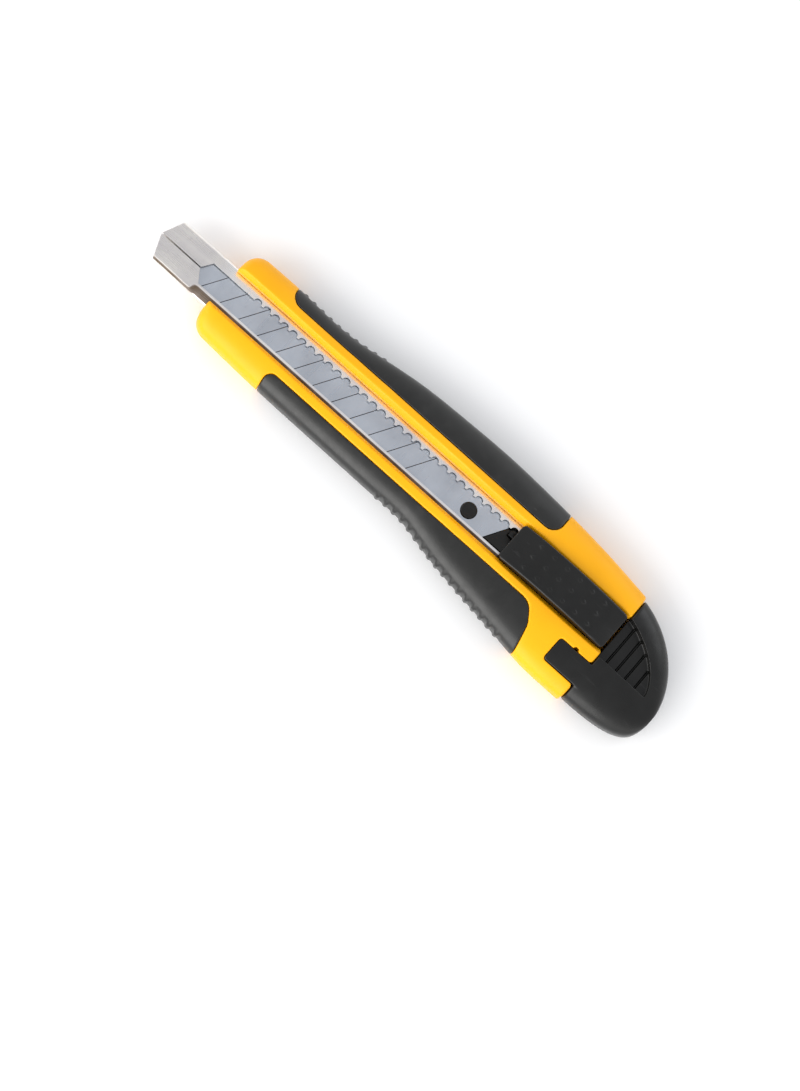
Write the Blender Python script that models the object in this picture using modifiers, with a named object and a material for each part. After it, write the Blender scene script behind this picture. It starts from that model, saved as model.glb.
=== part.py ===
"""A 9 mm snap-off knife, modelled as the separate pieces that it comes apart into.

Dimensions are in millimetres and are turned into metres as each mesh is made.
X runs from the nose (0) towards the tail, Y from the blade's centreline towards the
spine side, and Z up from the flat back that the knife rests on. The part's own origin
is halfway along it, on the blade's centreline, at the back.
"""

import math

import bmesh
import bpy
from mathutils import Matrix, Vector

MM = 0.001

# --- Driving dimensions -------------------------------------------------------------
LENGTH = 138.4
GAP = 0.3                    # between pieces that are fixed against each other
SLIDE_GAP = 0.1              # between thin pieces that slide in the channel

BODY_FRONT = 16.4
BODY_REAR = 121.8
FRONT_CORNER = 3.6           # plan radius of the body's two front corners
FRONT_ROUND = 1.5            # rounding of the front end over the body's thickness
CROWN = 9.6                  # height of the body above its back
WAIST = 4.8                  # height of the widest part of the side
SIDE_POWER = 2 / 3           # how square the handle's cross-section is
BACK_FULLNESS = 1.12         # how far the back is filled out before it is cut flat
GRIP_DEPTH = 1.1             # thickness of the soft grips
GRIP_INNER_Y = 6.95          # where the grips start, either side of the centreline

CHANNEL_FLOOR = 4.2          # underside of the steel channel
CHANNEL_REAR = 121.2
SHEET = 0.4
CHANNEL_HEIGHT = 2.3
CHANNEL_HALF = 5.1
LIP_CREST = 3.1              # where the sloping lip, on the edge side, levels out
LIP_DROP = 0.9               # how far that lip falls from its crest to the side wall
LIP_START = 11.2             # where the slope begins, behind the flat nose flaps
LIP_FULL = 13.0
NOSE_NARROWING = 0.15        # how much narrower each side is at the very nose
NOSE_CORNER = 2.1            # length of the pointed nose
FLAP_REAR = 10.4             # where the slit between the nose flaps ends
WINDOW_UPPER = 2.5
WINDOW_LOWER = -2.8
WINDOW_FRONT_UPPER = 11.9    # where the window reaches its full width on each side
WINDOW_FRONT_LOWER = 12.3
WINDOW_DEPTH = 1.3           # height above the channel's floor that the window is cut to
SLIT = 0.4
NOTCH_PITCH = 2.386
NOTCH_COUNT = 30
FIRST_NOTCH = 23.7
NOTCH_HALF = 0.9
NOTCH_DEPTH = 0.85

RAIL_HALF = 4.3              # half of the gap between the body's rails
RAIL_EDGE = 8.3              # height of the rails' inner edges
RAIL_CREST_HALF = 5.3        # where the bevel on each rail reaches its crown

BLADE_HALF = 4.5
BLADE_THICK = 0.4
BLADE_Z = CHANNEL_FLOOR + 0.95
GROUND_WIDTH = 1.3           # width of the ground bevel along the cutting edge
SEGMENT = 5.0
SEGMENT_LINES = 12
SCORE_DEPTH = 0.12
SCORE_HALF = 0.11            # half of a score line's width at the surface
SCORE_LEAN = 0.567           # how far a score line moves along X for each unit of Y
FIRST_SCORE = 14.5           # where the first score line crosses the centreline
BLADE_TAIL = 90.15           # where the tail edge crosses the centreline
STUD_X = 83.2
STUD_Y = -0.3
STUD_R = 1.7
STUD_FOOT_R = 1.1

TONGUE_FRONT = 80.4          # front end of the carriage's tongue
NECK_FRONT = 96.0            # the carriage's neck, which stands up into the slider
NECK_REAR = 118.5
PAWL_REAR = 111.0
SPRING_MIDDLE = 102.5
SPRING_HALF = 5.5
SPRING_BOW = 0.12
SPRING_THICK = 0.12

SLIDER_FRONT = 93.5
SLIDER_LENGTH = 27.8
SLIDER_HALF = 4.4            # over the flanges that overlap the rails' bevels
SLIDER_WAIST = 4.0           # between the rails
FLANGE_FLOOR = 8.75
SLIDER_FLOOR = CHANNEL_FLOOR + CHANNEL_HEIGHT + GAP
SLIDER_EDGE = 9.7            # height of the slider's ends
SLIDER_TOP = 11.4            # height of the middle of its arch
SLIDER_ARCH = 2.4            # exponent of the arch
HOLLOW_FRONT = 94.9          # the hollow under the slider, round the carriage's neck
HOLLOW_REAR = 120.0
HOLLOW_HALF = 2.6
HOLLOW_DEPTH = 1.35
PIP_LENGTH = 1.3             # half-lengths of a pip's diamond
PIP_WIDTH = 0.95
PIP_HEIGHT = 0.3
PIP_ROW_PITCH = 2.8
PIP_PITCH = 3.3
PIP_COLUMNS = 6
PIP_ROWS = 3

TAIL_CENTRE_X = 118.0        # centre of the curves that bound the end cap
TAIL_CENTRE_Y = -7.4
TAIL_UPPER = 17.9
TAIL_UPPER_POWER = 1.9
TAIL_LOWER = 8.75
TAIL_LOWER_POWER = 3.7
TAIL_THINNING = 1.6          # how much the cap thins, top and bottom, at its very end
TAIL_THINNING_POWER = 2.5
TAB_FRONT = 113.9
TAB_LOW = -13.45
TAB_HIGH = -8.1
TAB_Z = 5.6
SNAP_X = 117.7               # the tab's snap nub
SNAP_R = 0.5
SPIGOT_FRONT = 115.0
SPIGOT_HALF = 3.5
SPIGOT_LOW = 1.7
SPIGOT_HIGH = 3.0
RECESS_STEPS = (124.1, 126.6, 129.0, 131.6)   # grooves across the cap's thumb recess
RECESS_FLOOR = 6.9
RECESS_RISE = 0.28
RECESS_GROOVE_HALF = 0.22
RECESS_GROOVE_DEPTH = 0.45
RECESS_X = 118.0             # the recess's rim is a quarter of a rounded curve from here
RECESS_Y = -5.8
RECESS_REACH = 16.2
RECESS_HEIGHT = 11.0
RECESS_POWER = 1.7

# Half-widths of the handle at distances from the nose, towards the spine and the edge.
SPINE_EDGE = ((16.4, 10.4), (28.0, 10.55), (38.0, 10.25), (44.0, 10.5), (50.0, 11.4),
              (60.0, 12.8), (72.0, 13.45), (84.0, 13.7), (98.0, 13.15), (110.0, 12.25),
              (122.0, 10.75))
CUTTING_EDGE = ((16.4, 9.9), (35.0, 10.6), (65.0, 10.8), (74.0, 10.95), (84.0, 13.0),
                (94.0, 14.45), (104.0, 15.75), (112.0, 16.75), (122.0, 16.85))

COLOURS = {
    "yellow_plastic": ((0.95, 0.55, 0.01), 0.4, 0.0),
    "soft_grip": ((0.03, 0.03, 0.028), 0.75, 0.0),
    "channel_steel": ((0.62, 0.61, 0.60), 0.3, 1.0),
    "blade_steel": ((0.5, 0.52, 0.56), 0.25, 1.0),
    "spring_steel": ((0.55, 0.55, 0.55), 0.3, 1.0),
    "black_plastic": ((0.02, 0.02, 0.019), 0.45, 0.0),
}


# --- Small tools --------------------------------------------------------------------
def place(x, y, z):
    """A point in the part's own frame, in metres."""
    return Vector(((x - LENGTH / 2) * MM, y * MM, z * MM))


def smooth_value(table, x):
    """The height at x of a smooth curve through a table of points."""
    for index in range(len(table) - 1):
        if x <= table[index + 1][0] or index == len(table) - 2:
            break
    x0, y0 = table[index]
    x1, y1 = table[index + 1]
    before = table[max(index - 1, 0)]
    after = table[min(index + 2, len(table) - 1)]
    span = x1 - x0
    slope0 = (y1 - before[1]) / (x1 - before[0]) * span
    slope1 = (after[1] - y0) / (after[0] - x0) * span
    t = (x - x0) / span
    return ((2 * t**3 - 3 * t**2 + 1) * y0 + (t**3 - 2 * t**2 + t) * slope0
            + (3 * t**2 - 2 * t**3) * y1 + (t**3 - t**2) * slope1)


def tidy_mesh(mesh):
    """Weld a mesh's coincident points and turn its faces outwards."""
    work = bmesh.new()
    work.from_mesh(mesh)
    bmesh.ops.remove_doubles(work, verts=work.verts, dist=1e-7)
    bmesh.ops.recalc_face_normals(work, faces=work.faces)
    work.to_mesh(mesh)
    work.free()


def loft(name, rings, collection):
    """A closed solid through a list of rings that have the same number of points."""
    count = len(rings[0])
    faces = [tuple(range(count)),
             tuple(range((len(rings) - 1) * count, len(rings) * count))]
    for ring in range(len(rings) - 1):
        for side in range(count):
            here = ring * count + side
            beside = ring * count + (side + 1) % count
            faces.append((here, beside, beside + count, here + count))
    mesh = bpy.data.meshes.new(name)
    mesh.from_pydata([place(*point) for ring in rings for point in ring], [], faces)
    tidy_mesh(mesh)
    solid = bpy.data.objects.new(name, mesh)
    collection.objects.link(solid)
    return solid


def extrusion(name, outline, axis, low, high, collection):
    """An outline extruded along an axis: a filled 2D curve that is then made a mesh.

    The outline's two numbers are the other two axes in X, Y, Z order.
    """
    curve = bpy.data.curves.new(name, "CURVE")
    curve.dimensions = "2D"
    curve.fill_mode = "BOTH"
    curve.render_resolution_u = 0
    curve.extrude = abs(high - low) / 2 * MM
    spline = curve.splines.new("POLY")
    spline.points.add(len(outline) - 1)
    spline.use_cyclic_u = True
    for point, (across, up) in zip(spline.points, outline):
        point.co = (across * MM, up * MM, 0.0, 1.0)
    middle = (low + high) / 2
    centres = {"X": (middle, 0, 0), "Y": (0, middle, 0), "Z": (0, 0, middle)}
    turns = {"X": Matrix(((0, 0, 1), (1, 0, 0), (0, 1, 0))),
             "Y": Matrix(((1, 0, 0), (0, 0, -1), (0, 1, 0))),
             "Z": Matrix.Identity(3)}
    source = bpy.data.objects.new(name, curve)
    collection.objects.link(source)
    source.matrix_world = Matrix.Translation(place(*centres[axis])) @ turns[axis].to_4x4()
    bpy.context.view_layer.update()
    evaluated = source.evaluated_get(bpy.context.evaluated_depsgraph_get())
    mesh = bpy.data.meshes.new_from_object(evaluated)
    mesh.transform(source.matrix_world)
    tidy_mesh(mesh)
    bpy.data.objects.remove(source)
    solid = bpy.data.objects.new(name, mesh)
    collection.objects.link(solid)
    return solid


def block(name, x, y, z, collection):
    """A plain box between pairs of limits."""
    outline = ((x[0], y[0]), (x[1], y[0]), (x[1], y[1]), (x[0], y[1]))
    return extrusion(name, outline, "Z", z[0], z[1], collection)


def cylinder(name, x, y, radius, z, collection, sides=32):
    """An upright cylinder."""
    mesh = bpy.data.meshes.new(name)
    work = bmesh.new()
    centre = place(x, y, (z[0] + z[1]) / 2)
    bmesh.ops.create_cone(work, cap_ends=True, segments=sides, radius1=radius * MM,
                          radius2=radius * MM, depth=(z[1] - z[0]) * MM,
                          matrix=Matrix.Translation(centre))
    work.to_mesh(mesh)
    work.free()
    solid = bpy.data.objects.new(name, mesh)
    collection.objects.link(solid)
    return solid


def rounded(corners, steps=4):
    """An outline from (x, y, radius) corners, each corner turned into an arc."""
    outline = []
    for index, (x, y, radius) in enumerate(corners):
        corner = Vector((x, y))
        if radius == 0:
            outline.append((x, y))
            continue
        back = (Vector(corners[index - 1][:2]) - corner).normalized()
        ahead = (Vector(corners[(index + 1) % len(corners)][:2]) - corner).normalized()
        half_angle = back.angle(ahead) / 2
        reach = radius / math.tan(half_angle)
        centre = corner + (back + ahead).normalized() * radius / math.sin(half_angle)
        start = corner + back * reach - centre
        sweep = start.angle_signed(corner + ahead * reach - centre)
        for step in range(steps + 1):
            arm = start.copy()
            arm.rotate(Matrix.Rotation(-sweep * step / steps, 2))
            outline.append(tuple(centre + arm))
    return outline


def combine(piece, operation, *others):
    """Cut, join or intersect a piece with others, one Boolean modifier each."""
    for other in others:
        step = piece.modifiers.new(other.name, "BOOLEAN")
        step.operation = operation
        step.solver = "EXACT"
        step.object = other
    return piece


def soften(piece, width, segments=2, angle=40):
    """Round a piece's sharp edges."""
    bevel = piece.modifiers.new("rounded_edges", "BEVEL")
    bevel.width = width * MM
    bevel.segments = segments
    bevel.limit_method = "ANGLE"
    bevel.angle_limit = math.radians(angle)
    return piece


# --- The handle's outer form --------------------------------------------------------
def end_inset(x, radius):
    """How far a rounding of this radius draws in the body at its front end."""
    depth = min(x - BODY_FRONT, radius)
    return radius - math.sqrt(radius**2 - (radius - depth) ** 2)


def tail_span(x, exponent):
    """The share of the end cap's width that is left at x, from 1 down to nearly 0."""
    along = min((x - TAIL_CENTRE_X) / (LENGTH - TAIL_CENTRE_X), 1.0) * 0.997
    return (1 - along**exponent) ** (1 / exponent)


def handle_edges(x):
    """The handle's two edges at x: towards the cutting edge and towards the spine."""
    if x > BODY_REAR:
        return (TAIL_CENTRE_Y - TAIL_LOWER * tail_span(x, TAIL_LOWER_POWER),
                TAIL_CENTRE_Y + TAIL_UPPER * tail_span(x, TAIL_UPPER_POWER))
    corner = end_inset(x, FRONT_CORNER)
    return (corner - smooth_value(CUTTING_EDGE, x), smooth_value(SPINE_EDGE, x) - corner)


def handle_ring(x, inset=0.0, sides=36):
    """The handle's cross-section at x: soft sides, a low crown and a flat back."""
    low, high = handle_edges(x)
    centre = (low + high) / 2
    half = (high - low) / 2 - inset
    if x > BODY_REAR:
        thin = TAIL_THINNING * (1 - tail_span(x, TAIL_THINNING_POWER))
    else:
        thin = end_inset(x, FRONT_ROUND)
    crown = CROWN - thin - inset
    back = thin + inset
    ring = []
    for side in range(sides):
        angle = 2 * math.pi * side / sides
        across, up = math.cos(angle), math.sin(angle)
        y = centre + half * math.copysign(abs(across) ** SIDE_POWER, across)
        reach = abs(up) ** SIDE_POWER
        if up >= 0:
            z = WAIST + (crown - WAIST) * reach
        else:
            z = max(WAIST - (WAIST - back) * BACK_FULLNESS * reach, back)
        ring.append((x, y, z))
    return ring


def handle_form(name, stations, collection, inset=0.0):
    """The handle's outer form, or one drawn inwards by inset, through the stations."""
    return loft(name, [handle_ring(x, inset) for x in stations], collection)


def spread(start, end, spacing):
    """Evenly spaced stations, no further apart than spacing."""
    count = max(math.ceil((end - start) / spacing), 1)
    return [start + (end - start) * step / count for step in range(count + 1)]


BODY_STATIONS = ([BODY_FRONT + step for step in (0.0, 0.12, 0.45, 1.0, 1.8, 2.7)]
                 + spread(BODY_FRONT + FRONT_CORNER, BODY_REAR, 4.2))


# --- Fixed pieces -------------------------------------------------------------------
def grip_outline(side, grow=0.0):
    """The plan outline of a grip, grown outwards by the gap when it cuts the body."""
    inner = GRIP_INNER_Y - grow
    if side == "spine":
        return rounded(((27.9 - grow, 20, 0), (28.2 - grow, inner, 2.8),
                        (99.4 + grow, inner, 2.8), (99.4 + grow, 20, 0)))
    return rounded(((36.9 - grow, -20, 0), (34.6 - grow, -inner, 1.7),
                    (104.3 + grow, -inner, 3.5), (107.0 + grow, -10.5, 4.0),
                    (109.6 + grow, -20, 0)))


def make_grip(name, side, parts, cutters):
    """A soft grip: the skin of the handle's form inside the grip's outline."""
    grip = handle_form(name, BODY_STATIONS, parts)
    outline = extrusion(name + "_outline", grip_outline(side), "Z", -5, 20, cutters)
    core = handle_form(name + "_core", BODY_STATIONS, cutters, GRIP_DEPTH)
    return combine(combine(grip, "INTERSECT", outline), "DIFFERENCE", core)


def grip_pocket(name, side, cutters):
    """The hollow that a grip lies in, with a gap all round."""
    pocket = extrusion(name, grip_outline(side, GAP), "Z", -6, 21, cutters)
    core = handle_form(name + "_core", BODY_STATIONS, cutters, GRIP_DEPTH + GAP)
    return combine(pocket, "DIFFERENCE", core)


def tab_outline(grow=0.0):
    """The plan outline of the end cap's locking tab."""
    radius = 0.6 + grow
    return rounded(((TAB_FRONT - grow, TAB_LOW - grow, radius),
                    (BODY_REAR + 2, TAB_LOW - grow, 0), (BODY_REAR + 2, TAB_HIGH + grow, 0),
                    (TAB_FRONT - grow, TAB_HIGH + grow, radius)))


def make_body(parts, cutters):
    """The yellow handle, cut for the channel, the slider, the grips and the end cap."""
    body = handle_form("body", BODY_STATIONS, parts)
    groove_half = CHANNEL_HALF + GAP
    groove_low = CHANNEL_FLOOR - GAP
    groove_high = SLIDER_FLOOR
    half_section = ((groove_half, groove_low), (groove_half, groove_high),
                    (RAIL_HALF, groove_high), (RAIL_HALF, RAIL_EDGE),
                    (RAIL_CREST_HALF, CROWN), (RAIL_CREST_HALF, CROWN + 2))
    section = half_section + tuple((-y, z) for y, z in reversed(half_section))
    groove = extrusion("groove_cutter", section, "X", BODY_FRONT - 1, BODY_REAR + 1, cutters)
    tab_slot = extrusion("tab_slot_cutter", tab_outline(GAP), "Z", TAB_Z - GAP, 12, cutters)
    snap_notch = cylinder("snap_notch_cutter", SNAP_X, TAB_HIGH + GAP, SNAP_R + 0.1,
                          (TAB_Z - GAP, 12), cutters, 16)
    socket_half = SPIGOT_HALF + GAP
    socket = block("spigot_socket_cutter", (SPIGOT_FRONT - 1, BODY_REAR + 1),
                   (-socket_half, socket_half), (SPIGOT_LOW - GAP, SPIGOT_HIGH + GAP), cutters)
    return combine(body, "DIFFERENCE", groove, grip_pocket("spine_pocket", "spine", cutters),
                   grip_pocket("edge_pocket", "edge", cutters), tab_slot, snap_notch, socket)


def channel_ring(x, inset):
    """The folded channel's section: flat on top, but for the lip on the edge side, which
    slopes down to the side wall behind the nose flaps."""
    half = CHANNEL_HALF - NOSE_NARROWING * max(0.0, 1 - x / BODY_FRONT) - inset
    share = min(max((x - LIP_START) / (LIP_FULL - LIP_START), 0.0), 1.0)
    slope = LIP_DROP * share / (CHANNEL_HALF - LIP_CREST)
    low = CHANNEL_FLOOR + inset
    top = CHANNEL_FLOOR + CHANNEL_HEIGHT
    high = top - inset
    lean = inset * (math.sqrt(1 + slope**2) - 1)
    crest = LIP_CREST - (lean / slope if slope else 0.0)
    shoulder = high - lean - slope * (half - LIP_CREST)
    return [(x, -half, low), (x, half, low), (x, half, high), (x, -crest, high),
            (x, -half, shoulder)]


def notch_outline():
    """The window between the lips, with the ratchet notches along its spine side."""
    outline = [(-1.0, -SLIT / 2), (FLAP_REAR, -SLIT / 2), (WINDOW_FRONT_LOWER, WINDOW_LOWER),
               (CHANNEL_REAR + 1, WINDOW_LOWER), (CHANNEL_REAR + 1, WINDOW_UPPER)]
    for notch in reversed(range(NOTCH_COUNT)):
        centre = FIRST_NOTCH + notch * NOTCH_PITCH
        for step in range(7):
            angle = math.pi * step / 6
            outline.append((centre + NOTCH_HALF * math.cos(angle),
                            WINDOW_UPPER + NOTCH_DEPTH * math.sin(angle)))
    outline += [(WINDOW_FRONT_UPPER, WINDOW_UPPER), (FLAP_REAR, SLIT / 2), (-1.0, SLIT / 2)]
    return outline


def make_channel(parts, cutters):
    """The folded steel channel that the blade runs in."""
    stations = [0.0, LIP_START, LIP_FULL, CHANNEL_REAR]
    channel = loft("blade_channel", [channel_ring(x, 0.0) for x in stations], parts)
    inner_stations = [-1.0, LIP_START, LIP_FULL, CHANNEL_REAR + 1]
    inside = loft("channel_inside", [channel_ring(x, SHEET) for x in inner_stations], cutters)
    window = extrusion("channel_window", notch_outline(), "Z", CHANNEL_FLOOR + WINDOW_DEPTH,
                       CHANNEL_FLOOR + 4, cutters)
    corners = []
    for side in (-1, 1):
        outline = ((-1, 0), (0, 0), (NOSE_CORNER, side * (CHANNEL_HALF - 0.1)),
                   (NOSE_CORNER, side * 8), (-1, side * 8))
        corners.append(extrusion(f"nose_cutter_{side}", outline, "Z", CHANNEL_FLOOR - 2,
                                 CHANNEL_FLOOR + 5, cutters))
    return combine(channel, "DIFFERENCE", inside, window, *corners)


def make_end_cap(parts, cutters):
    """The cap that closes the tail, with its tab, its spigot and a ribbed thumb recess."""
    front = BODY_REAR + GAP
    stations = [front, 124, 126, 128, 130, 132, 133.6, 135, 136.2, 137.2, 137.9, LENGTH]
    cap = handle_form("end_cap", stations, parts)
    tab = handle_form("cap_tab_form", [TAB_FRONT - 1, 116, 118, 120, BODY_REAR, 122.6], cutters)
    tab_limits = extrusion("cap_tab_limits", tab_outline(), "Z", TAB_Z, 12, cutters)
    combine(tab, "INTERSECT", tab_limits)
    nub = cylinder("cap_snap_nub", SNAP_X, TAB_HIGH - SNAP_R / 2, SNAP_R, (TAB_Z, 8.6),
                   cutters, 16)
    spigot = block("cap_spigot", (SPIGOT_FRONT, front + 1), (-SPIGOT_HALF, SPIGOT_HALF),
                   (SPIGOT_LOW, SPIGOT_HIGH), cutters)
    return combine(combine(cap, "UNION", tab, nub, spigot), "DIFFERENCE",
                   cap_recess(cutters), cap_slider_room(cutters))


def cap_recess(cutters):
    """The cutter for the thumb recess: a stepped floor inside a curved rim."""
    front, rear, above = BODY_REAR - 1.8, LENGTH - 2.4, CROWN + 4
    profile = [(front, RECESS_FLOOR)]
    level = RECESS_FLOOR
    for x in RECESS_STEPS:
        near, far = x - RECESS_GROOVE_HALF, x + RECESS_GROOVE_HALF
        bottom = level - RECESS_GROOVE_DEPTH
        profile += [(near, level), (near, bottom), (far, bottom), (far, level + RECESS_RISE)]
        level += RECESS_RISE
    profile += [(rear, level), (rear, above), (front, above)]
    recess = extrusion("cap_recess_cutter", profile, "Y", -9, 9, cutters)
    rim = [(RECESS_X - 2, RECESS_Y)]
    for step in range(25):
        angle = math.pi / 2 * step / 24
        rim.append((RECESS_X + RECESS_REACH * math.cos(angle) ** (2 / RECESS_POWER),
                    RECESS_Y + RECESS_HEIGHT * math.sin(angle) ** (2 / RECESS_POWER)))
    rim.append((RECESS_X - 2, RECESS_Y + RECESS_HEIGHT))
    return combine(recess, "INTERSECT", extrusion("cap_rim", rim, "Z", 3, 16, cutters))


def cap_slider_room(cutters):
    """Clears the mouth of the channel in the cap's front face."""
    return block("cap_mouth_cutter", (BODY_REAR - 1, BODY_REAR + 1.2), (-4.6, 4.6),
                 (CHANNEL_FLOOR, 8), cutters)


# --- Moving pieces ------------------------------------------------------------------
def make_blade(parts, cutters):
    """The blade: a bevelled strip with slanted ends, scored where it snaps."""
    low, high = BLADE_Z, BLADE_Z + BLADE_THICK
    middle = (low + high) / 2
    ground_y = -BLADE_HALF + GROUND_WIDTH
    section = ((BLADE_HALF, low), (BLADE_HALF, high), (ground_y, high),
               (-BLADE_HALF, middle + 0.02), (-BLADE_HALF, middle - 0.02), (ground_y, low))
    blade = extrusion("blade", section, "X", 4, 95, parts)
    reach = 6.0
    point = FIRST_SCORE - SEGMENT
    front = ((point - SCORE_LEAN * reach, -reach), (point + SCORE_LEAN * reach, reach),
             (0, reach), (0, -reach))
    rear = ((BLADE_TAIL - SCORE_LEAN * reach, -reach), (BLADE_TAIL + SCORE_LEAN * reach, reach),
            (99, reach), (99, -reach))
    ends = [extrusion("blade_front_cutter", front, "Z", low - 1, high + 1, cutters),
            extrusion("blade_tail_cutter", rear, "Z", low - 1, high + 1, cutters)]
    hole = cylinder("blade_hole_cutter", STUD_X, STUD_Y, STUD_R + SLIDE_GAP,
                    (low - 1, high + 1), cutters)
    scores = []
    for line in range(SEGMENT_LINES):
        x = FIRST_SCORE + SEGMENT * line
        rings = []
        for y in (-reach, reach):
            centre = x + SCORE_LEAN * y
            rings.append([(centre - SCORE_HALF, y, high + 0.01),
                          (centre + SCORE_HALF, y, high + 0.01),
                          (centre, y, high - SCORE_DEPTH)])
        scores.append(loft(f"score_cutter_{line + 1:02d}", rings, cutters))
    return combine(blade, "DIFFERENCE", *ends, hole, *scores)


def make_carriage(parts, cutters):
    """The carriage behind the blade: a thin tongue, a wedge and a neck for the slider."""
    rear = SLIDER_FRONT + SLIDER_LENGTH - 1.5
    low = CHANNEL_FLOOR + SHEET + SLIDE_GAP
    tongue_top = BLADE_Z - SLIDE_GAP
    tongue = rounded(((TONGUE_FRONT, -4.3, 1.5), (rear, -4.3, 0), (rear, 4.3, 0),
                      (TONGUE_FRONT, 4.3, 1.5)))
    carriage = extrusion("blade_carriage", tongue, "Z", low, tongue_top, parts)
    tail = BLADE_TAIL + 0.3
    foot_top = CHANNEL_FLOOR + 1.2
    seat = low + 0.15
    foot = ((tail - SCORE_LEAN * 4.2, -4.2), (rear - 0.2, -4.2), (rear - 0.2, 4.2),
            (tail + SCORE_LEAN * 4.2, 4.2))
    wedge = ((tail + SCORE_LEAN * -2.5, -2.5), (rear - 0.4, -2.5), (rear - 0.4, 0.45),
             (94.4, 0.45), (92.1, 0.9), (92.1, 2.1), (tail + SCORE_LEAN * 2.1, 2.1))
    neck = rounded(((NECK_FRONT, -2.2, 0.5), (NECK_REAR, -2.2, 0.5), (NECK_REAR, 0.2, 0.5),
                    (NECK_FRONT, 0.2, 0.5)))
    stud_hole = cylinder("stud_hole_cutter", STUD_X, STUD_Y, STUD_FOOT_R + 0.05,
                         (low - 1, tongue_top + 1), cutters)
    pieces = [extrusion("carriage_foot", foot, "Z", seat, foot_top, cutters),
              extrusion("carriage_wedge", wedge, "Z", seat + 0.1, CHANNEL_FLOOR + 2.1, cutters),
              extrusion("carriage_neck", neck, "Z", seat + 0.2, SLIDER_FLOOR + 1.0, cutters)]
    combine(carriage, "UNION", *pieces)
    return combine(carriage, "DIFFERENCE", stud_hole)


def make_stud(parts):
    """The headed stud that carries the blade, riveted into the carriage's tongue."""
    foot = CHANNEL_FLOOR + SHEET + SLIDE_GAP
    seat = BLADE_Z - SLIDE_GAP + 0.03
    crown = CHANNEL_FLOOR + 1.75
    profile = ((0.0, crown), (STUD_R - 0.35, crown), (STUD_R, crown - 0.25), (STUD_R, seat),
               (STUD_FOOT_R, seat), (STUD_FOOT_R, foot), (0.0, foot))
    return turned("blade_stud", profile, STUD_X, STUD_Y, parts)


def turned(name, profile, x, y, collection):
    """A turned piece: a profile from the top axis point down to the bottom one."""
    mesh = bpy.data.meshes.new(name)
    points = [(radius * MM, 0.0, height * MM) for radius, height in profile]
    mesh.from_pydata(points, [(step, step + 1) for step in range(len(points) - 1)], [])
    solid = bpy.data.objects.new(name, mesh)
    solid.location = place(x, y, 0)
    collection.objects.link(solid)
    screw = solid.modifiers.new("turned", "SCREW")
    screw.steps = 32
    screw.render_steps = 32
    screw.use_merge_vertices = True
    screw.merge_threshold = 0.00001
    return solid


def slider_height(x):
    """The height of the slider's arch at x."""
    along = abs(x - SLIDER_FRONT - SLIDER_LENGTH / 2) / (SLIDER_LENGTH / 2)
    return SLIDER_EDGE + (SLIDER_TOP - SLIDER_EDGE) * (1 - along**SLIDER_ARCH)


def make_slider(parts, cutters):
    """The arched thumb slider, hollow underneath for the carriage's neck."""
    rear = SLIDER_FRONT + SLIDER_LENGTH
    middle = (SLIDER_FRONT + rear) / 2
    profile = [(rear, SLIDER_FLOOR), (SLIDER_FRONT, SLIDER_FLOOR)]
    profile += [(x, slider_height(x)) for x in spread(SLIDER_FRONT, rear, SLIDER_LENGTH / 16)]
    slider = extrusion("thumb_slider", profile, "Y", -SLIDER_HALF, SLIDER_HALF, parts)
    soften(slider, 0.7, 3)
    pips = []
    for column in range(PIP_COLUMNS):
        for row in range(PIP_ROWS):
            x = middle + (column - (PIP_COLUMNS - 1) / 2) * PIP_PITCH
            y = (row - (PIP_ROWS - 1) / 2) * PIP_ROW_PITCH
            name = f"slider_pip_{column + 1}_{row + 1}"
            pips.append(pip(name, x, y, slider_height(x), cutters))
    reliefs = [block(f"slider_relief_cutter_{side}", (SLIDER_FRONT - 1, rear + 1),
                     sorted((side * SLIDER_WAIST, side * 6)), (SLIDER_FLOOR - 1, FLANGE_FLOOR),
                     cutters) for side in (-1, 1)]
    hollow = block("slider_hollow_cutter", (HOLLOW_FRONT, HOLLOW_REAR),
                   (-HOLLOW_HALF, HOLLOW_HALF),
                   (SLIDER_FLOOR - 1, SLIDER_FLOOR + HOLLOW_DEPTH), cutters)
    return combine(combine(slider, "UNION", *pips), "DIFFERENCE", hollow, *reliefs)


def pip(name, x, y, top, cutters):
    """One low diamond-shaped pip on the slider."""
    low, high = top - PIP_HEIGHT, top + PIP_HEIGHT
    base = [(x - PIP_LENGTH, y, low), (x, y - PIP_WIDTH, low), (x + PIP_LENGTH, y, low),
            (x, y + PIP_WIDTH, low)]
    crown = [(x + (px - x) * 0.45, y + (py - y) * 0.45, high) for px, py, pz in base]
    return loft(name, [base, crown], cutters)


def make_pawl(parts):
    """The lock pawl: an arm along the carriage whose tooth drops into a notch."""
    tooth = FIRST_NOTCH + (NOTCH_COUNT - 1) * NOTCH_PITCH
    outline = rounded(((tooth - 0.55, 1.15, 0), (PAWL_REAR, 0.85, 0), (PAWL_REAR, 1.7, 0.3),
                       (tooth + 0.75, 1.7, 0.2), (tooth + 0.5, 2.38, 0.3),
                       (tooth - 0.5, 2.38, 0.3)))
    return extrusion("lock_pawl", outline, "Z", CHANNEL_FLOOR + 1.45, CHANNEL_FLOOR + 2.3, parts)


def make_pawl_spring(parts):
    """The bowed leaf spring that pushes the pawl outwards."""
    points = []
    for step in range(13):
        along = -1 + step / 6
        points.append((SPRING_MIDDLE + SPRING_HALF * along, 0.6 + SPRING_BOW * (1 - along**2)))
    outline = points + [(x, y - SPRING_THICK) for x, y in reversed(points)]
    return extrusion("pawl_spring", outline, "Z", CHANNEL_FLOOR + 1.5, CHANNEL_FLOOR + 2.2, parts)


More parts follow.
